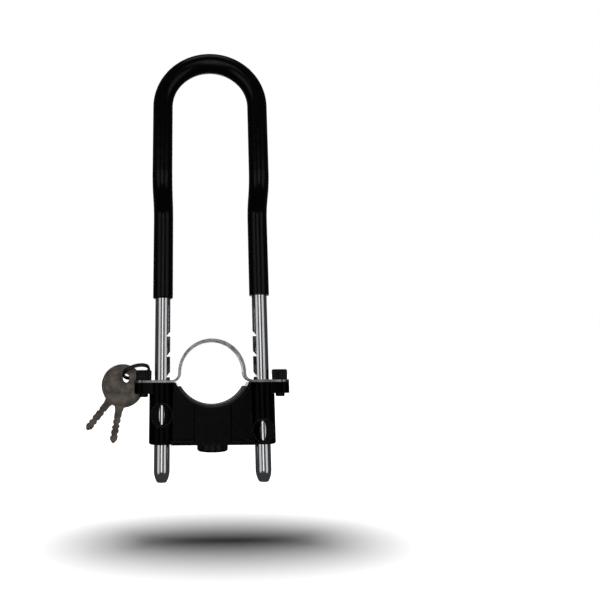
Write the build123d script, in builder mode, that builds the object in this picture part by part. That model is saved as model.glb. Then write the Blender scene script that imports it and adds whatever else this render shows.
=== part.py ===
"""U lock with a tube clamp: a long notched shackle that slides in a cast body, which a strap holds on a tube.

Frame, in millimetres: the origin is on the axis of the clamped tube, X runs from leg to leg,
Y is the tube's axis with -Y at the front, and Z points up towards the bow of the shackle.
"""

from build123d import *
import math
import os

os.makedirs("parts", exist_ok=True)

# Shackle
LEG_X = 32.0  # half of the leg spacing, and the bow's radius
ROD_R = 5.0
SLEEVE_R = 6.6
ROD_TIP_Z = -67.0
TIP_LENGTH = 7.0
TIP_R = 3.0
BEND_R = 16.0  # both bends of the joggle
BEND_ANGLE = 50.0
JOGGLE_OFFSET = 16.0
JOGGLE_START_Z = 102.0
BOW_Z = 178.0
SLEEVE_END_Z = {-1: 48.6, 1: 50.4}

# Ratchet notches on the inner side of each leg
NOTCH_TOP_Z = 23.4
NOTCH_PITCH = 13.0
NOTCH_COUNT = 5
NOTCH_DEPTH = 2.3
NOTCH_HEIGHT = 3.2

# Body
BODY_TOP = -6.0
BODY_BOTTOM = -44.0
COLUMN_R = 8.3
BORE_R = 5.1
BLOCK_X = 11.9
FRAME_X = 26.0  # of the part between the columns
BLOCK_FRONT = -11.0
RIM_FRONT = -9.8
WEB_FRONT = -4.2
BODY_BACK = 11.0
SADDLE_R = 24.9
SADDLE_Z = 3.5
RIM_WIDTH = 1.8
FLANGE_HEIGHT = 2.5
LUG_X = 44.0
LUG_R = 6.0
LUG_BOTTOM = -13.0

# Windows in the fronts of the columns
WINDOW_R = 6.7
WINDOW_RIM = (7.4, 0.35)  # outer radius, height above the column
DISH_R = 54.0
DISH_DEPTH = 4.77  # from the leg's axis to the deepest point of the dish
WINDOW_Z = {-1: -26.0, 1: -35.9}

# Clamp
STRAP_R = 20.0
STRAP_T = 1.6
STRAP_HALF = 8.0
STRAP_BEND_R = 6.0  # of the bends' lower surface
EAR_X = 50.0
EAR_NARROWS_X = 38.0
PAD_T = 1.4
PAD_TOP_Z = -8.5
SCREW_R = 3.0
HEAD_R = 5.0
HEAD_H = 6.4
SCREW_TIP_Z = -15.1
SOCKET_R = 2.9

# Lock works
PLUG_R = 5.5
BARREL_R = 8.4
BARREL_TOP = -33.8
BARREL_BOTTOM = -47.3
CAP_R = 9.75
CAP_BOTTOM = -48.5
CAM_R = 6.0
CAM_BOTTOM = -33.4
CAM_TOP = -31.0
PIN_R = 1.0
PIN_OFFSET = 3.2
PIN_TOP = -25.6
PIN_CLEARANCE = 0.25
TRAVEL = 2 * PIN_OFFSET * math.sin(math.radians(45))
BOLT_HALF = 2.5
BOLT_START_X = 5.4  # where a bolt's full section begins, outside the other one's tail
BOLT_BOTTOM = -30.5
BOLT_TOP = -25.0
GAP = 0.2  # between a bolt and its channel
LEDGE_Z = NOTCH_TOP_Z - (NOTCH_COUNT - 1) * NOTCH_PITCH
CHANNEL_X = 23.5
CHAMBER_X = 10.6
CHAMBER_FRONT = -6.3
CHAMBER_BOTTOM = -33.6
COVER_T = 2.0
COVER_X = 22.4
COVER_BOTTOM = -39.0
COVER_TOP = -14.0
COVER_ARC_R = 27.4
COVER_SCREWS = [(x, z) for x in (-19.0, 19.0) for z in (-18.5, -36.0)]
COVER_SCREW_R = 1.25
COVER_HEAD_R = 2.2
COVER_HEAD_T = 1.4
COVER_SCREW_LENGTH = 7.0  # under the head
CROSS = (2.6, 0.7, 1.2)  # a screw's cross slots: length, width, twice the depth
PIN_Z = -41.2  # of the pin that holds the barrel
BARREL_PIN_R = 1.5
KEYWAY = (5.2, 2.2)
WAFER_PITCH = 2.2
WAFER_COUNT = 5
WAFER = (9.6, 3.9, 1.0)
WAFER_SLOT = (4.2, 1.2)  # across and along the plug
SPRING = (0.7, 2.0, 0.6)
SPRING_X = 4.2
CAM_SCREW_R = 0.95
CAM_HEAD_R = 1.9
CAM_HEAD_T = 1.2

# Keys and their ring
RING_R = 8.52  # to the middle of its section
RING_CENTRE = (-49.43, 4.45, 0.97)
RING_AXIS = (-0.282, 0.411, 0.867)
COIL = (1.4, 1.05)  # one of the ring's two flat coils, across and along its axis
KEY_T = 1.7
BOW_R = 13.4
HOLE_R = 3.0
HOLE_OFFSET = 5.5  # from the bow's centre, away from the blade
KEY_LENGTH = 35.8  # from the bow's centre to the tip
BLADE_HALF = 2.35
NECK_FLARE = 1.2
POINT = (0.6, 2.2)  # a blade's point: half width, length
MILLED = (1.1, 0.45)  # width and depth of the groove along a blade
TURNED_LINE = (1.2, 0.4, 0.15)  # on a bow: distance from its edge, width, depth
# Where each key's hole is, and how far its blade leans to the left of straight down
KEY_ONE = ((-55.55, 8.33, -3.1), 38.0)
KEY_TWO = ((-57.1, 6.15, -3.2), 9.5)
KEY_TURN = 5.0  # of both keys about Z, their right side backwards
# Cuts of a blade: distance from the bow's edge, depth
BLADE_CUTS_ONE = [(8.0, 0.6), (11.5, 0.3), (15.0, 0.7), (18.0, 0.45)]
BLADE_CUTS_TWO = [(7.5, 0.4), (11.0, 0.7), (14.0, 0.5), (17.5, 0.6)]


def save(piece, name):
    """Labels a finished piece and writes its STEP file."""
    piece.part.label = name
    export_step(piece.part, f"parts/{name}.step")


def leg_path(side, low, high):
    """The centreline of one leg between two heights, the upper one above the joggle."""
    setback = BEND_R * math.tan(math.radians(BEND_ANGLE / 2))
    lower = JOGGLE_START_Z + setback
    upper = lower + JOGGLE_OFFSET / math.tan(math.radians(BEND_ANGLE))
    x = side * LEG_X
    points = [(x, 0, low), (x, 0, lower), (x, -JOGGLE_OFFSET, upper), (x, -JOGGLE_OFFSET, high)]
    return FilletPolyline(*points, radius=BEND_R)


def shackle_tube(radius, left_end, right_end):
    """A round bar along the whole shackle, from one leg's end over the bow to the other's."""
    with BuildPart() as bar:
        with BuildLine() as path:
            leg_path(-1, left_end, BOW_Z)
            ThreePointArc(
                (-LEG_X, -JOGGLE_OFFSET, BOW_Z),
                (0, -JOGGLE_OFFSET, BOW_Z + LEG_X),
                (LEG_X, -JOGGLE_OFFSET, BOW_Z),
            )
            leg_path(1, right_end, BOW_Z)
        with BuildSketch(Plane.XY.offset(left_end)):
            with Locations((-LEG_X, 0)):
                Circle(radius)
        sweep(path=path.wires()[0])
    return bar


def box(x, y, z, mode=Mode.ADD):
    """A box between two limits on each axis."""
    with Locations((sum(x) / 2, sum(y) / 2, sum(z) / 2)):
        return Box(x[1] - x[0], y[1] - y[0], z[1] - z[0], mode=mode)


def rod_z(x, y, radius, low, high, mode=Mode.ADD):
    """An upright cylinder between two heights."""
    with Locations((x, y, (low + high) / 2)):
        return Cylinder(radius, high - low, mode=mode)


# ---------------------------------------------------------------- shackle

with BuildPart() as shackle_rod:
    add(shackle_tube(ROD_R, ROD_TIP_Z + TIP_LENGTH, ROD_TIP_Z + TIP_LENGTH).part)
    for side in (-1, 1):
        # The bullet tip is turned about the leg's own axis.
        with BuildSketch(Plane.XZ) as tip:
            with BuildLine():
                base = ROD_TIP_Z + TIP_LENGTH
                start = (side * LEG_X + ROD_R, base)
                end = (side * LEG_X + TIP_R, ROD_TIP_Z)
                TangentArc(start, end, tangent=(0, -1))
                Polyline(end, (side * LEG_X, ROD_TIP_Z), (side * LEG_X, base), start)
            make_face()
        revolve(axis=Axis((side * LEG_X, 0, 0), (0, 0, 1)))
        # Each notch has a flat ledge below and a slanted face above.
        face = side * (LEG_X - ROD_R)
        with BuildSketch(Plane.XZ):
            for i in range(NOTCH_COUNT):
                ledge = NOTCH_TOP_Z - i * NOTCH_PITCH
                with BuildLine():
                    Polyline(
                        (face - side, ledge),
                        (face + side * NOTCH_DEPTH, ledge),
                        (face, ledge + NOTCH_HEIGHT),
                        (face - side, ledge + NOTCH_HEIGHT),
                        close=True,
                    )
                make_face()
        extrude(amount=ROD_R + 1, both=True, mode=Mode.SUBTRACT)
save(shackle_rod, "shackle_rod")

with BuildPart() as shackle_sleeve:
    add(shackle_tube(SLEEVE_R, SLEEVE_END_Z[-1], SLEEVE_END_Z[1]).part)
    add(shackle_tube(ROD_R + 0.05, ROD_TIP_Z, ROD_TIP_Z).part, mode=Mode.SUBTRACT)
    chamfer(shackle_sleeve.edges().filter_by(GeomType.CIRCLE).group_by(Axis.Z)[0], 0.5)
save(shackle_sleeve, "shackle_sleeve")

# ---------------------------------------------------------------- body


def window_tool(side):
    """A round cutter for a column's window, with a dished end."""
    with BuildPart() as tool:
        with BuildSketch(Plane.XZ.offset(-BLOCK_FRONT + 1)):
            with Locations((side * LEG_X, WINDOW_Z[side])):
                Circle(WINDOW_R)
        extrude(amount=-9)
        with Locations((side * LEG_X, -DISH_DEPTH - DISH_R, WINDOW_Z[side])):
            Sphere(DISH_R, mode=Mode.INTERSECT)
    return tool


def window_rim(side):
    """A round pad on a column's front, which the window's cutter leaves as a rim."""
    radius, height = WINDOW_RIM
    with BuildPart() as pad:
        rod_z(side * LEG_X, 0, COLUMN_R + height, BODY_BOTTOM, BODY_TOP)
        with BuildSketch(Plane.XZ.offset(-BLOCK_FRONT)):
            with Locations((side * LEG_X, WINDOW_Z[side])):
                Circle(radius)
        extrude(amount=BLOCK_FRONT, mode=Mode.INTERSECT)
    return pad


def cover_outline(inset):
    """The rear cover's outline: a rectangle whose top follows the saddle."""
    low, high = COVER_BOTTOM + inset, COVER_TOP - inset
    with Locations((0, (low + high) / 2)):
        Rectangle(2 * (COVER_X - inset), high - low)
    with Locations((0, SADDLE_Z)):
        Circle(COVER_ARC_R + inset, mode=Mode.SUBTRACT)


with BuildPart() as columns:
    for side in (-1, 1):
        rod_z(side * LEG_X, 0, COLUMN_R, BODY_BOTTOM, BODY_TOP)
    chamfer(columns.edges().group_by(Axis.Z)[0], 0.7)

with BuildPart() as lock_body:
    # Front frame, with a pocket at each side of the middle block.
    box((-FRAME_X, FRAME_X), (RIM_FRONT, BODY_BACK), (BODY_BOTTOM, BODY_TOP))
    with BuildSketch(Plane.XZ.offset(-RIM_FRONT)):
        with Locations((0, (BODY_BOTTOM + BODY_TOP) / 2 + FLANGE_HEIGHT / 2)):
            Rectangle(2 * FRAME_X, BODY_TOP - BODY_BOTTOM - FLANGE_HEIGHT)
            Rectangle(2 * BLOCK_X, BODY_TOP - BODY_BOTTOM - FLANGE_HEIGHT, mode=Mode.SUBTRACT)
        with Locations((0, SADDLE_Z)):
            Circle(SADDLE_R + RIM_WIDTH, mode=Mode.SUBTRACT)
    extrude(amount=RIM_FRONT - WEB_FRONT, mode=Mode.SUBTRACT)
    box((-BLOCK_X, BLOCK_X), (BLOCK_FRONT, 0), (BODY_BOTTOM + 1, BODY_TOP))
    fillet(lock_body.edges().filter_by(Axis.Z).group_by(Axis.Y)[0], 0.8)
    add(columns.part)
    for side in (-1, 1):
        rod_z(side * LUG_X, 0, LUG_R, LUG_BOTTOM, BODY_TOP)
        inner, outer = sorted((side * (LEG_X + 5), side * LUG_X))
        box((inner, outer), (-LUG_R, LUG_R), (LUG_BOTTOM, BODY_TOP))
    # A low rim round each window, which follows its column.
    for side in (-1, 1):
        add(window_rim(side).part)
    # Saddle for the tube.
    with Locations(Location((0, 0, SADDLE_Z), (90, 0, 0))):
        Cylinder(SADDLE_R, 40, mode=Mode.SUBTRACT)
    # Bores for the legs and screws, and the windows.
    for side in (-1, 1):
        rod_z(side * LEG_X, 0, BORE_R, BODY_BOTTOM - 1, BODY_TOP + 1, mode=Mode.SUBTRACT)
        rod_z(side * LUG_X, 0, SCREW_R, LUG_BOTTOM - 1, BODY_TOP + 1, mode=Mode.SUBTRACT)
        add(window_tool(side).part, mode=Mode.SUBTRACT)
    # Chamber of the cam, channel of the bolts and bore of the barrel.
    channel_z = (BOLT_BOTTOM - GAP, BOLT_TOP + GAP)
    chamber_y = (CHAMBER_FRONT, BODY_BACK)
    box((-CHAMBER_X, CHAMBER_X), chamber_y, (CHAMBER_BOTTOM, channel_z[1]), Mode.SUBTRACT)
    box((-CHANNEL_X, CHANNEL_X), (-BOLT_HALF - GAP, BODY_BACK), channel_z, Mode.SUBTRACT)
    box((-LEG_X + 2, LEG_X - 2), (-BOLT_HALF - GAP, BOLT_HALF + GAP), channel_z, Mode.SUBTRACT)
    rod_z(0, 0, BARREL_R + 0.05, BODY_BOTTOM - 1, CHAMBER_BOTTOM, mode=Mode.SUBTRACT)
    # Seat and threaded holes of the rear cover, and the barrel pin's hole.
    with BuildSketch(Plane.XZ.offset(-BODY_BACK)):
        cover_outline(0)
    extrude(amount=COVER_T, mode=Mode.SUBTRACT)
    with BuildSketch(Plane.XZ.offset(-BODY_BACK)):
        with Locations(*COVER_SCREWS):
            Circle(COVER_SCREW_R + 0.05)
    extrude(amount=COVER_SCREW_LENGTH + COVER_T, mode=Mode.SUBTRACT)
    with BuildSketch(Plane.XZ.offset(-BODY_BACK)):
        with Locations((0, PIN_Z)):
            Circle(BARREL_PIN_R)
    extrude(amount=BODY_BACK - PLUG_R, mode=Mode.SUBTRACT)
save(lock_body, "lock_body")

with BuildPart() as rear_cover:
    with BuildSketch(Plane.XZ.offset(-BODY_BACK)):
        cover_outline(0.1)
    extrude(amount=COVER_T)
    # Ribs that keep the bolts against the front of their channel.
    for side in (-1, 1):
        inner, outer = sorted((side * (CHAMBER_X + 0.4), side * (CHANNEL_X - 3.5)))
        box((inner, outer), (BOLT_HALF + GAP, BODY_BACK - COVER_T), (BOLT_BOTTOM + 0.3, BOLT_TOP - 0.3))
    with BuildSketch(Plane.XZ.offset(-BODY_BACK)):
        with Locations(*COVER_SCREWS):
            Circle(COVER_SCREW_R + 0.15)
    extrude(amount=COVER_T, mode=Mode.SUBTRACT)
save(rear_cover, "rear_cover")

with BuildPart() as cover_screws:
    for x, z in COVER_SCREWS:
        with Locations(Location((x, BODY_BACK + COVER_HEAD_T / 2, z), (90, 0, 0))):
            Cylinder(COVER_HEAD_R, COVER_HEAD_T)
        with Locations(Location((x, BODY_BACK - COVER_SCREW_LENGTH / 2, z), (90, 0, 0))):
            Cylinder(COVER_SCREW_R, COVER_SCREW_LENGTH)
        with Locations((x, BODY_BACK + COVER_HEAD_T, z)):
            Box(CROSS[1], CROSS[2], CROSS[0], mode=Mode.SUBTRACT)
            Box(CROSS[0], CROSS[2], CROSS[1], mode=Mode.SUBTRACT)
save(cover_screws, "cover_screws")

with BuildPart() as saddle_pad:
    with BuildSketch(Plane.XZ.offset(-RIM_FRONT - 0.4)):
        with Locations((0, SADDLE_Z)):
            Circle(SADDLE_R)
            Circle(SADDLE_R - PAD_T, mode=Mode.SUBTRACT)
        with Locations((0, PAD_TOP_Z + 50)):
            Rectangle(100, 100, mode=Mode.SUBTRACT)
    extrude(amount=RIM_FRONT - BODY_BACK + 0.8)
save(saddle_pad, "saddle_pad")

# ---------------------------------------------------------------- clamp

with BuildPart() as clamp_strap:
    flat_top = BODY_TOP + STRAP_T
    foot_x = STRAP_R + STRAP_BEND_R
    r_out = STRAP_R + STRAP_T
    with BuildSketch(Plane.XZ.offset(STRAP_HALF)):
        with BuildLine():
            Polyline((-EAR_X, flat_top), (-foot_x, flat_top))
            RadiusArc((-foot_x, flat_top), (-r_out, 0), STRAP_T - STRAP_BEND_R)
            ThreePointArc((-r_out, 0), (0, r_out), (r_out, 0))
            RadiusArc((r_out, 0), (foot_x, flat_top), STRAP_T - STRAP_BEND_R)
            Polyline((foot_x, flat_top), (EAR_X, flat_top), (EAR_X, BODY_TOP), (foot_x, BODY_TOP))
            RadiusArc((foot_x, BODY_TOP), (STRAP_R, 0), STRAP_BEND_R)
            ThreePointArc((STRAP_R, 0), (0, STRAP_R), (-STRAP_R, 0))
            RadiusArc((-STRAP_R, 0), (-foot_x, BODY_TOP), STRAP_BEND_R)
            Polyline((-foot_x, BODY_TOP), (-EAR_X, BODY_TOP), (-EAR_X, flat_top))
        make_face()
    extrude(amount=-2 * STRAP_HALF)
    # The ears narrow to round ends over the lugs.
    with BuildSketch(Plane.XY.offset(BODY_TOP)):
        Rectangle(2 * EAR_NARROWS_X, 2 * STRAP_HALF)
        for side in (-1, 1):
            with BuildLine():
                near, far = side * EAR_NARROWS_X, side * LUG_X
                Polyline((near, -STRAP_HALF), (far, -LUG_R), (far, LUG_R), (near, STRAP_HALF), close=True)
            make_face()
            with Locations((side * LUG_X, 0)):
                Circle(LUG_R)
    extrude(amount=40, mode=Mode.INTERSECT)
    for side in (-1, 1):
        rod_z(side * LEG_X, 0, ROD_R + 0.5, BODY_TOP - 1, flat_top + 1, mode=Mode.SUBTRACT)
        rod_z(side * LUG_X, 0, SCREW_R + 0.2, BODY_TOP - 1, flat_top + 1, mode=Mode.SUBTRACT)
save(clamp_strap, "clamp_strap")

with BuildPart() as clamp_screws:
    head_bottom = BODY_TOP + STRAP_T
    for side in (-1, 1):
        rod_z(side * LUG_X, 0, HEAD_R, head_bottom, head_bottom + HEAD_H)
    chamfer(clamp_screws.edges().group_by(Axis.Z)[-1], 0.5)
    for side in (-1, 1):
        rod_z(side * LUG_X, 0, SCREW_R - 0.05, SCREW_TIP_Z, head_bottom)
    chamfer(clamp_screws.edges().group_by(Axis.Z)[0], 0.6)
    with BuildSketch(Plane.XY.offset(head_bottom + HEAD_H)):
        with Locations((-LUG_X, 0), (LUG_X, 0)):
            RegularPolygon(SOCKET_R, 6)
    extrude(amount=-HEAD_H / 2, mode=Mode.SUBTRACT)
save(clamp_screws, "clamp_screws")

# ---------------------------------------------------------------- lock works

with BuildPart() as cylinder_barrel:
    rod_z(0, 0, BARREL_R, BARREL_BOTTOM, BARREL_TOP)
    rod_z(0, 0, PLUG_R + 0.05, BARREL_BOTTOM - 1, BARREL_TOP + 1, mode=Mode.SUBTRACT)
    with Locations(Location((0, 8, PIN_Z), (90, 0, 0))):
        Cylinder(BARREL_PIN_R, 3, mode=Mode.SUBTRACT)
save(cylinder_barrel, "cylinder_barrel")

with BuildPart() as barrel_pin:
    with Locations(Location((0, 8.7, PIN_Z), (90, 0, 0))):
        Cylinder(BARREL_PIN_R - 0.05, 4.2)
save(barrel_pin, "barrel_pin")

with BuildPart() as cylinder_cap:
    rod_z(0, 0, CAP_R, CAP_BOTTOM, BODY_BOTTOM)
    fillet(cylinder_cap.edges().group_by(Axis.Z)[0], 1.4)
    rod_z(0, 0, BARREL_R + 0.1, BARREL_BOTTOM - 0.1, BODY_BOTTOM + 1, mode=Mode.SUBTRACT)
    rod_z(0, 0, PLUG_R + 0.1, CAP_BOTTOM - 1, BODY_BOTTOM, mode=Mode.SUBTRACT)
save(cylinder_cap, "cylinder_cap")

wafer_levels = [CAM_BOTTOM - 3.4 - i * WAFER_PITCH for i in range(WAFER_COUNT)]

with BuildPart() as cylinder_plug:
    rod_z(0, 0, PLUG_R, CAP_BOTTOM + 0.2, CAM_BOTTOM)
    rod_z(0, 0, 1.0, CAM_BOTTOM - 2.6, CAM_BOTTOM + 1, mode=Mode.SUBTRACT)
    with Locations((0, 0, (CAP_BOTTOM + CAM_BOTTOM) / 2 - 3)):
        Box(KEYWAY[0], KEYWAY[1], CAM_BOTTOM - CAP_BOTTOM, mode=Mode.SUBTRACT)
    for level in wafer_levels:
        with Locations((0, 0, level)):
            Box(2 * PLUG_R, WAFER_SLOT[0], WAFER_SLOT[1], mode=Mode.SUBTRACT)
save(cylinder_plug, "cylinder_plug")

with BuildPart() as wafers:
    for level in wafer_levels:
        with Locations((0, 0, level)):
            Box(*WAFER)
            Box(KEYWAY[0] + 0.2, KEYWAY[1] + 0.2, WAFER[2], mode=Mode.SUBTRACT)
            with Locations((SPRING_X, 0, 0)):
                Box(SPRING[0] + 0.2, SPRING[1] + 0.4, WAFER[2], mode=Mode.SUBTRACT)
save(wafers, "wafers")

with BuildPart() as wafer_springs:
    for level in wafer_levels:
        with Locations((SPRING_X, 0, level)):
            Box(*SPRING)
save(wafer_springs, "wafer_springs")

with BuildPart() as cam:
    rod_z(0, 0, CAM_R, CAM_BOTTOM, CAM_TOP)
    for side in (-1, 1):
        # At rest both bolts are drawn in, so each pin stands 45 degrees short of the Y axis.
        pin = PIN_OFFSET * math.sin(math.radians(45))
        rod_z(-side * pin, side * pin, PIN_R, CAM_TOP - 0.5, PIN_TOP)
    rod_z(0, 0, CAM_SCREW_R + 0.15, CAM_BOTTOM - 1, CAM_TOP + 1, mode=Mode.SUBTRACT)
    rod_z(0, 0, CAM_HEAD_R + 0.1, CAM_TOP - CAM_HEAD_T - 0.1, CAM_TOP + 1, mode=Mode.SUBTRACT)
save(cam, "cam")

with BuildPart() as cam_screw:
    rod_z(0, 0, CAM_HEAD_R, CAM_TOP - CAM_HEAD_T - 0.1, CAM_TOP - 0.1)
    rod_z(0, 0, CAM_SCREW_R, CAM_BOTTOM - 2.4, CAM_TOP - 1)
    with Locations((0, 0, CAM_TOP - 0.3)):
        Box(3.0, 0.5, 0.8, mode=Mode.SUBTRACT)
save(cam_screw, "cam_screw")


def sliding_bolt(side):
    """A bolt drawn in, with a wedge nose towards its leg and a forked tail round a cam pin."""
    seat = LEDGE_Z + GAP
    slope = NOTCH_HEIGHT / NOTCH_DEPTH
    nose_rise = NOTCH_HEIGHT - 0.45  # of the wedge's face where it meets the leg's surface
    leg_face = LEG_X - ROD_R - TRAVEL
    tip_x = leg_face + (nose_rise - GAP) / slope
    top_x = leg_face + (nose_rise - (BOLT_TOP - LEDGE_Z)) / slope
    stop_x = leg_face - 0.4
    pin_x = -PIN_OFFSET * math.sin(math.radians(45))
    slot_half = PIN_R + PIN_CLEARANCE
    with BuildPart() as bolt:
        with BuildSketch(Plane.XZ.offset(-BOLT_HALF)):
            with BuildLine():
                Polyline(
                    (side * BOLT_START_X, BOLT_BOTTOM),
                    (side * stop_x, BOLT_BOTTOM),
                    (side * stop_x, seat),
                    (side * tip_x, seat),
                    (side * top_x, BOLT_TOP),
                    (side * BOLT_START_X, BOLT_TOP),
                    close=True,
                )
            make_face()
        extrude(amount=2 * BOLT_HALF)
        tail_x = sorted((side * (pin_x - slot_half - 1.4), side * (BOLT_START_X + 0.2)))
        tail_y = sorted((side * 0.4, side * 5.7))
        box(tail_x, tail_y, (BOLT_BOTTOM, BOLT_TOP))
        slot_x = sorted((side * (pin_x - slot_half), side * (pin_x + slot_half)))
        slot_y = sorted((0, side * (PIN_OFFSET + PIN_R + 0.3)))
        box(slot_x, slot_y, (BOLT_BOTTOM - 1, BOLT_TOP + 1), Mode.SUBTRACT)
    return bolt


left_bolt = sliding_bolt(-1)
save(left_bolt, "left_bolt")
right_bolt = sliding_bolt(1)
save(right_bolt, "right_bolt")

# ---------------------------------------------------------------- keys

with BuildPart() as key_ring:
    ring_axis = Vector(*RING_AXIS)
    ring_plane = Plane(origin=RING_CENTRE, x_dir=ring_axis, z_dir=ring_axis.cross(Vector(0, 1, 0)))
    with BuildSketch(ring_plane):
        with Locations((COIL[1] / 2 + 0.05, RING_R), (-COIL[1] / 2 - 0.05, RING_R)):
            RectangleRounded(COIL[1], COIL[0], 0.3)
        with Locations((0, RING_R)):
            Rectangle(0.4, COIL[0] - 0.6)
    revolve(axis=Axis(RING_CENTRE, RING_AXIS))
save(key_ring, "key_ring")


def key(place, cuts):
    """A key with a round bow, hanging from its hole."""
    hole, lean = place
    lean = math.radians(lean)
    turn = math.radians(KEY_TURN)
    across = Vector(math.cos(lean) * math.cos(turn), math.cos(lean) * math.sin(turn), -math.sin(lean))
    forward = Vector(math.sin(turn), -math.cos(turn), 0)
    face = Plane(origin=Vector(*hole) + forward * (KEY_T / 2), x_dir=across, z_dir=forward)
    tip = -HOLE_OFFSET - KEY_LENGTH
    edge = -HOLE_OFFSET - BOW_R
    with BuildPart() as piece:
        with BuildSketch(face):
            with Locations((0, -HOLE_OFFSET)):
                Circle(BOW_R)
            with BuildLine():
                Polyline(
                    (-BLADE_HALF - NECK_FLARE, edge + 2),
                    (-BLADE_HALF, edge - 2.5),
                    (-BLADE_HALF, tip + POINT[1]),
                    (-POINT[0], tip),
                    (POINT[0], tip),
                    (BLADE_HALF, tip + POINT[1]),
                    (BLADE_HALF, edge - 2.5),
                    (BLADE_HALF + NECK_FLARE, edge + 2),
                    close=True,
                )
            make_face()
            Circle(HOLE_R, mode=Mode.SUBTRACT)
            # Both edges have the same cuts, a little out of step.
            for side in (-1, 1):
                for distance, depth in cuts:
                    at = edge - distance + (0.8 if side > 0 else 0)
                    with BuildLine():
                        Polyline(
                            (side * (BLADE_HALF + 0.5), at + depth + 0.9),
                            (side * (BLADE_HALF - depth), at + 0.35),
                            (side * (BLADE_HALF - depth), at - 0.35),
                            (side * (BLADE_HALF + 0.5), at - depth - 0.9),
                            close=True,
                        )
                    make_face(mode=Mode.SUBTRACT)
        extrude(amount=-KEY_T)
        # A milled groove along each side of the blade, and a fine turned line round the bow.
        line_r = BOW_R - TURNED_LINE[0]
        for level, inwards in ((face, -1), (face.offset(-KEY_T), 1)):
            with BuildSketch(level):
                with Locations((-0.5, (edge + tip) / 2 - 1)):
                    Rectangle(MILLED[0], edge - tip - 1)
            extrude(amount=inwards * MILLED[1], mode=Mode.SUBTRACT)
            with BuildSketch(level):
                with Locations((0, -HOLE_OFFSET)):
                    Circle(line_r)
                    Circle(line_r - TURNED_LINE[1], mode=Mode.SUBTRACT)
            extrude(amount=inwards * TURNED_LINE[2], mode=Mode.SUBTRACT)
    return piece


key_one = key(KEY_ONE, BLADE_CUTS_ONE)
save(key_one, "key_one")
key_two = key(KEY_TWO, BLADE_CUTS_TWO)
save(key_two, "key_two")
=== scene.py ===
"""Looks of a U lock with a tube clamp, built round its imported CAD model."""
import math

import bmesh
import bpy
from mathutils import Matrix, Vector


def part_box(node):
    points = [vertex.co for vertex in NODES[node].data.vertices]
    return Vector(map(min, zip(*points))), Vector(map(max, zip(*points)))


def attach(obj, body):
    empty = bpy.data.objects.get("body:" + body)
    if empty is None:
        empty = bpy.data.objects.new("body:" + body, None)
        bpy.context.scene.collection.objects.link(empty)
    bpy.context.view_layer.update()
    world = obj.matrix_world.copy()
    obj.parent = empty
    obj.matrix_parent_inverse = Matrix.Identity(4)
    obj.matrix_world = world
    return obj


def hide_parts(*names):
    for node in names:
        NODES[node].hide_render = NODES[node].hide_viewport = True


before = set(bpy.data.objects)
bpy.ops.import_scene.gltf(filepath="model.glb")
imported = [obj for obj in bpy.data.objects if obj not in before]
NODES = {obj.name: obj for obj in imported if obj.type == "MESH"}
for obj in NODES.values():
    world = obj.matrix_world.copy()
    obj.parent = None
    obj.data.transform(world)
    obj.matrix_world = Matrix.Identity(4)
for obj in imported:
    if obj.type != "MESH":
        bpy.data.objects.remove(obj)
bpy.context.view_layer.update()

# ---------------------------------------------------------------- camera

CAMERA_AT = (-0.00997, -0.36215, -0.00064)
CAMERA_YAW = 0.0135  # radians, to the right of +Y
CAMERA_PITCH = 0.1892  # above the horizon
CAMERA_ROLL = -0.0065
SENSOR = 36.0
FOCAL_SHARE = 0.91363  # focal length over the sensor's width
SHIFT = (0.16118, -0.05197)


def make_camera():
    """A camera just under the clamp's axis that looks up a little."""
    data = bpy.data.cameras.new("camera")
    data.sensor_width = SENSOR
    data.lens = FOCAL_SHARE * SENSOR
    data.shift_x, data.shift_y = SHIFT
    data.clip_start = 0.01
    camera = bpy.data.objects.new("camera", data)
    bpy.context.scene.collection.objects.link(camera)
    turn = Matrix.Rotation(-CAMERA_YAW, 4, "Z")
    tilt = Matrix.Rotation(math.pi / 2 + CAMERA_PITCH, 4, "X")
    roll = Matrix.Rotation(CAMERA_ROLL, 4, "Z")
    camera.matrix_world = Matrix.Translation(CAMERA_AT) @ turn @ tilt @ roll
    bpy.context.scene.camera = camera


# ---------------------------------------------------------------- stage and light

# Name, azimuth and elevation in degrees, distance, size, brightness
SOFTBOXES = (
    ("front_strip", -2, 0, 1.0, (0.34, 0.85), 0.82),
    ("left_box", -47, 0, 1.0, (0.55, 0.9), 0.5),
    ("right_box", 47, 0, 1.0, (0.55, 0.9), 0.5),
    ("top_box", 0, 78, 1.1, (0.5, 0.4), 0.7),
    ("back_box", 180, 12, 1.1, (0.55, 0.8), 1.0),
)
LIGHTS_AIM = (0, 0, 0.05)
ROOM_COLOUR = (0.045, 0.045, 0.047, 1)

FLOOR_Z = -0.122
FLOOR_X = (-20, 20)
FLOOR_Y = (-20, 60)
FLOOR_COLOUR = (0.1, 0.1, 0.1, 1)
FLOOR_LIGHT = 42.0
FLOOR_LIGHT_ANGLE = 35  # degrees; it sets how soft the shadow's edge is
SHADOW_AT = (0.012, 0.074)
SHADOW_HALF = (0.126, 0.06)
CARD_HEIGHT = 0.2  # above the floor
CARD_POINTS = 64


def softbox(name, azimuth, elevation, distance, size, radiance):
    """A rectangular light that looks at the object. Azimuth 0 is the front."""
    data = bpy.data.lights.new(name, "AREA")
    data.shape = "RECTANGLE"
    data.size, data.size_y = size
    # The energy grows with the area, so the brightness seen in a reflection doesn't.
    data.energy = 4 * size[0] * size[1] * radiance
    light = bpy.data.objects.new(name, data)
    a, e = math.radians(azimuth), math.radians(elevation)
    away = Vector((math.sin(a) * math.cos(e), -math.cos(a) * math.cos(e), math.sin(e)))
    light.location = Vector(LIGHTS_AIM) + distance * away
    light.rotation_euler = away.to_track_quat("Z", "Y").to_euler()
    light.visible_camera = False
    bpy.context.scene.collection.objects.link(light)
    return light


def make_lights():
    """Three soft strips in front, one light above and one behind."""
    for light in SOFTBOXES:
        softbox(*light)


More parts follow.
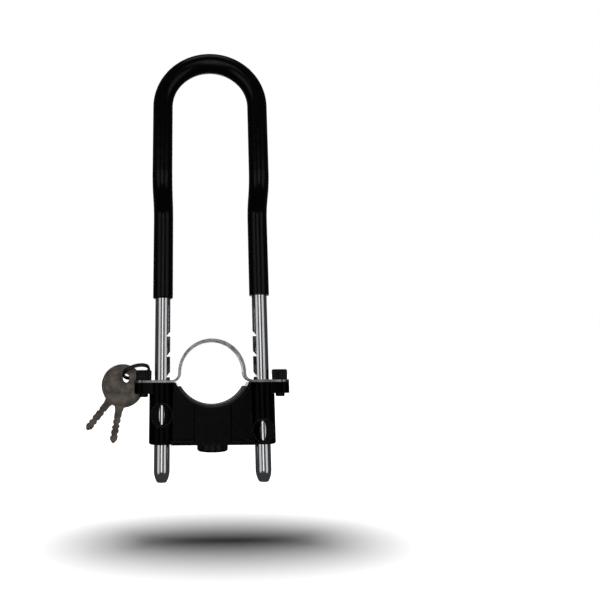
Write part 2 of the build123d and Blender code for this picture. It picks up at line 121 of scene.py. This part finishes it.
def make_world():
    """White where the camera sees it, and a dim grey room for everything else."""
    world = bpy.data.worlds.new("room")
    bpy.context.scene.world = world
    world.use_nodes = True
    tree = world.node_tree
    tree.nodes.clear()
    seen = tree.nodes.new("ShaderNodeBackground")
    seen.inputs["Color"].default_value = (1, 1, 1, 1)
    room = tree.nodes.new("ShaderNodeBackground")
    room.inputs["Color"].default_value = ROOM_COLOUR
    path = tree.nodes.new("ShaderNodeLightPath")
    mix = tree.nodes.new("ShaderNodeMixShader")
    out = tree.nodes.new("ShaderNodeOutputWorld")
    tree.links.new(path.outputs["Is Camera Ray"], mix.inputs["Fac"])
    tree.links.new(room.outputs["Background"], mix.inputs[1])
    tree.links.new(seen.outputs["Background"], mix.inputs[2])
    tree.links.new(mix.outputs["Shader"], out.inputs["Surface"])


def flat_mesh(name, points):
    """One flat face through some points."""
    mesh = bpy.data.meshes.new(name)
    mesh.from_pydata(points, [], [tuple(range(len(points)))])
    return bpy.data.objects.new(name, mesh)


def make_stage():
    """A plain floor that its own light makes white, and a card whose soft shadow lies on it."""
    (left, right), (near, far) = FLOOR_X, FLOOR_Y
    corners = [(left, near), (right, near), (right, far), (left, far)]
    floor = flat_mesh("floor", [(x, y, FLOOR_Z) for x, y in corners])
    material = bpy.data.materials.new("floor")
    material.use_nodes = True
    shader = material.node_tree.nodes["Principled BSDF"]
    shader.inputs["Base Color"].default_value = FLOOR_COLOUR
    shader.inputs["Roughness"].default_value = 1.0
    shader.inputs["Specular IOR Level"].default_value = 0.0
    floor.data.materials.append(material)
    ring = []
    for i in range(CARD_POINTS):
        turn = 2 * math.pi * i / CARD_POINTS
        x = SHADOW_AT[0] + SHADOW_HALF[0] * math.cos(turn)
        y = SHADOW_AT[1] + SHADOW_HALF[1] * math.sin(turn)
        ring.append((x, y, FLOOR_Z + CARD_HEIGHT))
    card = flat_mesh("shadow_card", ring)
    # The floor doesn't show in the object, and the card only blocks the floor's own light.
    for piece in (floor, card):
        piece.visible_glossy = False
        piece.visible_diffuse = False
        piece.visible_transmission = False
    floor.visible_shadow = False
    card.visible_camera = False
    lit = bpy.data.collections.new("floor_only")
    lit.objects.link(floor)
    blocking = bpy.data.collections.new("card_only")
    blocking.objects.link(card)
    for collection in (lit, blocking):
        bpy.context.scene.collection.children.link(collection)
    sun = bpy.data.objects.new("floor_light", bpy.data.lights.new("floor_light", "SUN"))
    sun.data.energy = FLOOR_LIGHT
    sun.data.angle = math.radians(FLOOR_LIGHT_ANGLE)
    sun.light_linking.receiver_collection = lit
    sun.light_linking.blocker_collection = blocking
    bpy.context.scene.collection.objects.link(sun)


# ---------------------------------------------------------------- material helpers


EDGE_BEGINS, EDGE_FULL = 0.985, 0.8  # cosines between the softened and the flat normal


class Surface:
    """A procedural material that is put together from short calls."""

    def __init__(self, name):
        self.material = bpy.data.materials.new(name)
        self.material.use_nodes = True
        self.tree = self.material.node_tree
        self.shader = self.tree.nodes["Principled BSDF"]
        self.place = self.add("ShaderNodeTexCoord").outputs["Object"]

    def add(self, kind, **settings):
        node = self.tree.nodes.new(kind)
        for key, value in settings.items():
            setattr(node, key, value)
        return node

    def link(self, a, b):
        self.tree.links.new(a, b)

    def set(self, **values):
        """Puts numbers and colours straight on the shader's sockets."""
        for key, value in values.items():
            socket = self.shader.inputs[key.replace("_", " ")]
            socket.default_value = (*value, 1) if isinstance(value, tuple) else value

    def stretched(self, x, y, z):
        """The object's coordinates, scaled per axis."""
        node = self.add("ShaderNodeMapping")
        node.inputs["Scale"].default_value = (x, y, z)
        self.link(self.place, node.inputs["Vector"])
        return node.outputs["Vector"]

    def noise(self, scale, detail=3.0, rough=0.5, at=None):
        node = self.add("ShaderNodeTexNoise")
        node.inputs["Scale"].default_value = scale
        node.inputs["Detail"].default_value = detail
        node.inputs["Roughness"].default_value = rough
        self.link(at or self.place, node.inputs["Vector"])
        return node.outputs["Fac"]

    def spread(self, value, low, high, out_low, out_high):
        """A value mapped smoothly from one span to another, and kept within it."""
        node = self.add("ShaderNodeMapRange", interpolation_type="SMOOTHSTEP")
        limits = {"From Min": low, "From Max": high, "To Min": out_low, "To Max": out_high}
        for key, number in limits.items():
            node.inputs[key].default_value = number
        self.link(value, node.inputs["Value"])
        return node.outputs["Result"]

    def blend(self, share, a, b):
        """A colour between a and b, which are colours or the outputs of nodes."""
        node = self.add("ShaderNodeMix", data_type="RGBA")
        self.link(share, node.inputs["Factor"])
        for socket, value in ((node.inputs[6], a), (node.inputs[7], b)):
            if isinstance(value, tuple):
                socket.default_value = (*value, 1)
            else:
                self.link(value, socket)
        return node.outputs[2]

    def sum(self, a, b, operation="ADD"):
        node = self.add("ShaderNodeMath", operation=operation)
        for socket, value in zip(node.inputs, (a, b)):
            if isinstance(value, float):
                socket.default_value = value
            else:
                self.link(value, socket)
        return node.outputs["Value"]

    def softened(self, radius):
        """The normal, rounded off at the edges."""
        node = self.add("ShaderNodeBevel", samples=4)
        node.inputs["Radius"].default_value = radius
        return node.outputs["Normal"]

    def edges(self, radius):
        """The softened normal, and a mask that is 1 where it leaves the flat one."""
        normal = self.softened(radius)
        flat = self.add("ShaderNodeNewGeometry")
        dot = self.add("ShaderNodeVectorMath", operation="DOT_PRODUCT")
        self.link(normal, dot.inputs[0])
        self.link(flat.outputs["Normal"], dot.inputs[1])
        return normal, self.spread(dot.outputs["Value"], EDGE_BEGINS, EDGE_FULL, 0.0, 1.0)

    def bump(self, height, depth, normal=None, strength=1.0):
        """Relief of a depth in metres on top of a normal."""
        node = self.add("ShaderNodeBump")
        node.inputs["Distance"].default_value = depth
        node.inputs["Strength"].default_value = strength
        self.link(height, node.inputs["Height"])
        if normal:
            self.link(normal, node.inputs["Normal"])
        return node.outputs["Normal"]

    def finish(self, colour=None, roughness=None, normal=None):
        for value, key in ((colour, "Base Color"), (roughness, "Roughness"), (normal, "Normal")):
            if value:
                self.link(value, self.shader.inputs[key])
        return self.material


# ---------------------------------------------------------------- materials


def cast_enamel():
    """Black stoved enamel on a casting with an orange-peel skin, and a painted highlight: its
    edges are greyer in the colour, broken up by noise.
    """
    s = Surface("cast_enamel")
    s.set(Specular_IOR_Level=0.05)
    normal, edge = s.edges(0.0007)
    # Painted highlight: the edge mask, broken up by noise, turns the colour grey along every
    # edge.
    painted_edge_highlight = s.sum(edge, s.spread(s.noise(900, 4), 0.35, 0.65, 0.15, 1.0), "MULTIPLY")
    cloud = s.spread(s.noise(160, 3), 0.35, 0.7, 0.0, 1.0)
    tone = s.blend(cloud, (0.0006, 0.0006, 0.0007), (0.0016, 0.0016, 0.0018))
    # The grey is the painted highlight on the edges.
    colour = s.blend(painted_edge_highlight, tone, (0.15, 0.15, 0.155))
    roughness = s.spread(s.noise(420, 4), 0.3, 0.7, 0.13, 0.24)
    skin = s.bump(s.noise(1300, 3), 0.00004, normal, 0.6)
    skin = s.bump(s.noise(260, 2), 0.00006, skin, 0.6)
    return s.finish(colour, roughness, skin)


def chrome():
    """Chromium plate over a drawn bar, with fine marks along it and a few rubbed scuffs."""
    s = Surface("chrome")
    s.set(Metallic=1.0)
    lines = s.noise(1.0, 3, 0.6, s.stretched(2600, 2600, 26))
    scuff = s.spread(s.noise(90, 5, 0.65), 0.5, 0.72, 0.0, 1.0)
    colour = s.blend(scuff, (0.78, 0.79, 0.8), (0.66, 0.66, 0.66))
    roughness = s.sum(s.spread(lines, 0.3, 0.7, 0.06, 0.13), s.sum(scuff, 0.07, "MULTIPLY"))
    normal = s.softened(0.0003)
    normal = s.bump(lines, 0.000006, normal, 0.5)
    return s.finish(colour, roughness, normal)


def vinyl():
    """The sleeve's black vinyl: glossy, a little wavy, with dust-fine specks."""
    s = Surface("vinyl")
    s.set(Specular_IOR_Level=0.2)
    normal = s.softened(0.0005)
    speck = s.spread(s.noise(2400, 2), 0.62, 0.78, 0.0, 1.0)
    colour = s.blend(speck, (0.0022, 0.0022, 0.0024), (0.012, 0.012, 0.012))
    roughness = s.spread(s.noise(240, 4), 0.3, 0.7, 0.17, 0.27)
    wave = s.bump(s.noise(60, 2), 0.00018, normal, 0.35)
    wave = s.bump(s.noise(1500, 2), 0.000012, wave, 0.5)
    return s.finish(colour, roughness, wave)


def bright_zinc():
    """The strap's zinc plate, faintly mottled, with the rolling lines of the sheet."""
    s = Surface("bright_zinc")
    s.set(Metallic=1.0)
    cloud = s.noise(260, 5, 0.6)
    lines = s.noise(1.0, 3, 0.6, s.stretched(120, 2400, 2400))
    dull = s.spread(cloud, 0.35, 0.7, 0.0, 1.0)
    colour = s.blend(dull, (0.34, 0.345, 0.35), (0.2, 0.203, 0.206))
    roughness = s.sum(s.spread(cloud, 0.3, 0.7, 0.2, 0.34), s.spread(lines, 0.35, 0.7, 0.0, 0.08))
    normal = s.softened(0.0004)
    normal = s.bump(lines, 0.000015, normal, 0.6)
    normal = s.bump(s.noise(700, 3), 0.00002, normal, 0.5)
    return s.finish(colour, roughness, normal)


def black_oxide():
    """Blackened steel screws with a dull oily sheen, and a painted highlight: their edges (broken
    up by noise) and knurled crests are lighter in the colour.
    """
    s = Surface("black_oxide")
    s.set(Metallic=0.6)
    normal, edge = s.edges(0.00025)
    # Painted highlight: lighter colour on the edges, broken up by noise, and on the knurled
    # crests.
    painted_highlight = s.sum(edge, s.spread(s.noise(1100, 3), 0.4, 0.65, 0.0, 1.0), "MULTIPLY")
    crest = s.add("ShaderNodeAttribute", attribute_name="painted_highlight").outputs["Fac"]
    painted_highlight = s.sum(painted_highlight, s.sum(crest, 0.3, "MULTIPLY"), "MAXIMUM")
    colour = s.blend(painted_highlight, (0.003, 0.003, 0.0035), (0.06, 0.058, 0.056))
    roughness = s.spread(s.noise(800, 4), 0.3, 0.7, 0.24, 0.4)
    return s.finish(colour, roughness, s.bump(s.noise(2200, 2), 0.00001, normal, 0.6))


def rubber():
    """The saddle's grey rubber pad, matt with a fine grain."""
    s = Surface("rubber")
    s.set(Specular_IOR_Level=0.25)
    normal = s.softened(0.0003)
    cloud = s.spread(s.noise(500, 4), 0.35, 0.7, 0.0, 1.0)
    colour = s.blend(cloud, (0.07, 0.068, 0.062), (0.1, 0.098, 0.09))
    roughness = s.spread(s.noise(900, 3), 0.3, 0.7, 0.55, 0.75)
    return s.finish(colour, roughness, s.bump(s.noise(3000, 3), 0.00003, normal, 0.7))


def worn_nickel():
    """Keys and ring: nickel plate dulled by pockets, with crossing scratches and smudges."""
    s = Surface("worn_nickel")
    s.set(Metallic=1.0)
    smudge = s.noise(210, 5, 0.6)
    first = s.noise(1.0, 2, 0.5, s.stretched(2600, 900, 160))
    second = s.noise(1.0, 2, 0.5, s.stretched(190, 900, 2300))
    first = s.spread(first, 0.6, 0.75, 0.0, 1.0)
    second = s.spread(second, 0.62, 0.77, 0.0, 0.8)
    marks = s.sum(first, second, "MAXIMUM")
    normal, edge = s.edges(0.00025)
    dull = s.spread(smudge, 0.35, 0.7, 0.0, 1.0)
    tone = s.blend(dull, (0.135, 0.118, 0.1), (0.095, 0.083, 0.07))
    tone = s.blend(s.sum(marks, 0.35, "MULTIPLY"), tone, (0.3, 0.275, 0.245))
    colour = s.blend(s.sum(edge, 0.7, "MULTIPLY"), tone, (0.4, 0.37, 0.33))
    roughness = s.sum(s.spread(smudge, 0.3, 0.7, 0.3, 0.44), s.sum(marks, -0.06, "MULTIPLY"))
    return s.finish(colour, roughness, s.bump(marks, -0.000012, normal, 0.7))


def brass():
    """Turned brass of the lock's cylinder."""
    s = Surface("brass")
    s.set(Metallic=1.0)
    rings = s.noise(1.0, 2, 0.5, s.stretched(60, 60, 3000))
    cloud = s.spread(s.noise(300, 4), 0.35, 0.7, 0.0, 1.0)
    colour = s.blend(cloud, (0.6, 0.43, 0.19), (0.44, 0.31, 0.14))
    roughness = s.spread(rings, 0.3, 0.7, 0.2, 0.36)
    normal = s.softened(0.0002)
    return s.finish(colour, roughness, s.bump(rings, 0.00001, normal, 0.6))


def plain_steel():
    """Ground steel of the cam, bolts and small screws, lightly oiled."""
    s = Surface("plain_steel")
    s.set(Metallic=1.0)
    lines = s.noise(1.0, 3, 0.5, s.stretched(150, 2600, 2600))
    cloud = s.spread(s.noise(350, 4), 0.35, 0.7, 0.0, 1.0)
    colour = s.blend(cloud, (0.42, 0.42, 0.43), (0.3, 0.3, 0.3))
    normal = s.softened(0.0002)
    roughness = s.spread(lines, 0.3, 0.7, 0.24, 0.38)
    return s.finish(colour, roughness, s.bump(lines, 0.00001, normal, 0.6))


# ---------------------------------------------------------------- pieces

HEAD_TEETH = 18
TOOTH_STEPS = 8
TOOTH_DEPTH = 0.0006
SHANK_R = 0.00295
SOCKET_R = 0.0029
SOCKET_DEPTH = 0.003
HEAD_R = 0.005
HEAD_H = 0.0064
EDGE = 0.0006  # how far the head's and the tip's edges are cut back
TOOTH_SHARPNESS = 0.7  # below 1, the grooves are wider than the crests
SOCKET_CONE = 0.0005  # depth of the drill's cone under the socket
SOCKET_POINT = 0.0002
SHARP_ANGLE = 35  # degrees

def knurled_screw(name, x, bottom, top):
    """A socket screw with a knurled head, as one closed mesh."""
    count = HEAD_TEETH * TOOTH_STEPS
    head = top - HEAD_H

    def circle(z, radius, tooth=0.0):
        ring = []
        for i in range(count):
            a = 2 * math.pi * i / count
            wave = 0.5 - 0.5 * math.cos(HEAD_TEETH * a)
            r = radius - tooth * wave**TOOTH_SHARPNESS
            ring.append((x + r * math.cos(a), r * math.sin(a), z))
        return ring

    def hexagon(z):
        ring = []
        for i in range(count):
            a = 2 * math.pi * i / count
            off = (a + math.pi / 6) % (math.pi / 3) - math.pi / 6
            r = SOCKET_R * math.cos(math.pi / 6) / math.cos(off)
            ring.append((x + r * math.cos(a), r * math.sin(a), z))
        return ring

    rings = [
        circle(bottom, SHANK_R - EDGE),
        circle(bottom + EDGE, SHANK_R),
        circle(head, SHANK_R),
        circle(head, HEAD_R - EDGE),
        circle(head + 0.3 * EDGE, HEAD_R, TOOTH_DEPTH * 0.3),
        circle(head + EDGE, HEAD_R, TOOTH_DEPTH),
        circle(top - 1.3 * EDGE, HEAD_R, TOOTH_DEPTH),
        circle(top - 0.8 * EDGE, HEAD_R - 0.2 * EDGE, TOOTH_DEPTH * 0.5),
        circle(top, HEAD_R - 1.3 * EDGE),
        circle(top, SOCKET_R + 0.3 * EDGE),
        hexagon(top - 0.3 * EDGE),
        hexagon(top - SOCKET_DEPTH),
        circle(top - SOCKET_DEPTH - SOCKET_CONE, SOCKET_POINT),
    ]
    mesh = bmesh.new()
    rows = [[mesh.verts.new(point) for point in ring] for ring in rings]
    for low, high in zip(rows, rows[1:]):
        for i in range(count):
            j = (i + 1) % count
            mesh.faces.new((low[i], low[j], high[j], high[i]))
    mesh.faces.new(rows[0][::-1])
    mesh.faces.new(rows[-1])
    data = bpy.data.meshes.new(name)
    mesh.to_mesh(data)
    mesh.free()
    data.shade_smooth()
    data.set_sharp_from_angle(angle=math.radians(SHARP_ANGLE))
    # How far each point of the head stands out, for the painted highlight on the knurling's
    # crests.
    painted_highlight = data.attributes.new("painted_highlight", "FLOAT", "POINT")
    for vertex, share in zip(data.vertices, painted_highlight.data):
        radius = math.hypot(vertex.co.x - x, vertex.co.y)
        crest = (radius - HEAD_R + TOOTH_DEPTH) / TOOTH_DEPTH
        share.value = max(0.0, crest) if vertex.co.z > head else 0.0
    screw = bpy.data.objects.new(name, data)
    bpy.context.scene.collection.objects.link(screw)
    return screw


def make_screws(material):
    """Both clamp screws, in the places of the CAD ones."""
    low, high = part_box("clamp_screws")
    for side, x in (("left", low.x + HEAD_R), ("right", high.x - HEAD_R)):
        screw = knurled_screw(f"{side}_knurled_screw", x, low.z, high.z)
        screw.data.materials.append(material)
        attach(screw, "lock")
        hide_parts("clamp_screws")


# ---------------------------------------------------------------- whole scene

FINISHES = {
    "cast": cast_enamel,
    "chrome": chrome,
    "sleeve": vinyl,
    "zinc": bright_zinc,
    "black_steel": black_oxide,
    "pad": rubber,
    "brass": brass,
    "steel": plain_steel,
    "nickel": worn_nickel,
}


def dress(materials):
    """Gives each CAD node the finish of its slot."""
    for node in NODES.values():
        for place in node.material_slots:
            slot = place.material.name.split(".")[0]
            place.material = materials[slot]


make_camera()
make_world()
make_lights()
make_stage()
made = {slot: make() for slot, make in FINISHES.items()}
dress(made)
make_screws(made["black_steel"])
bpy.context.scene.view_settings.view_transform = "Standard"
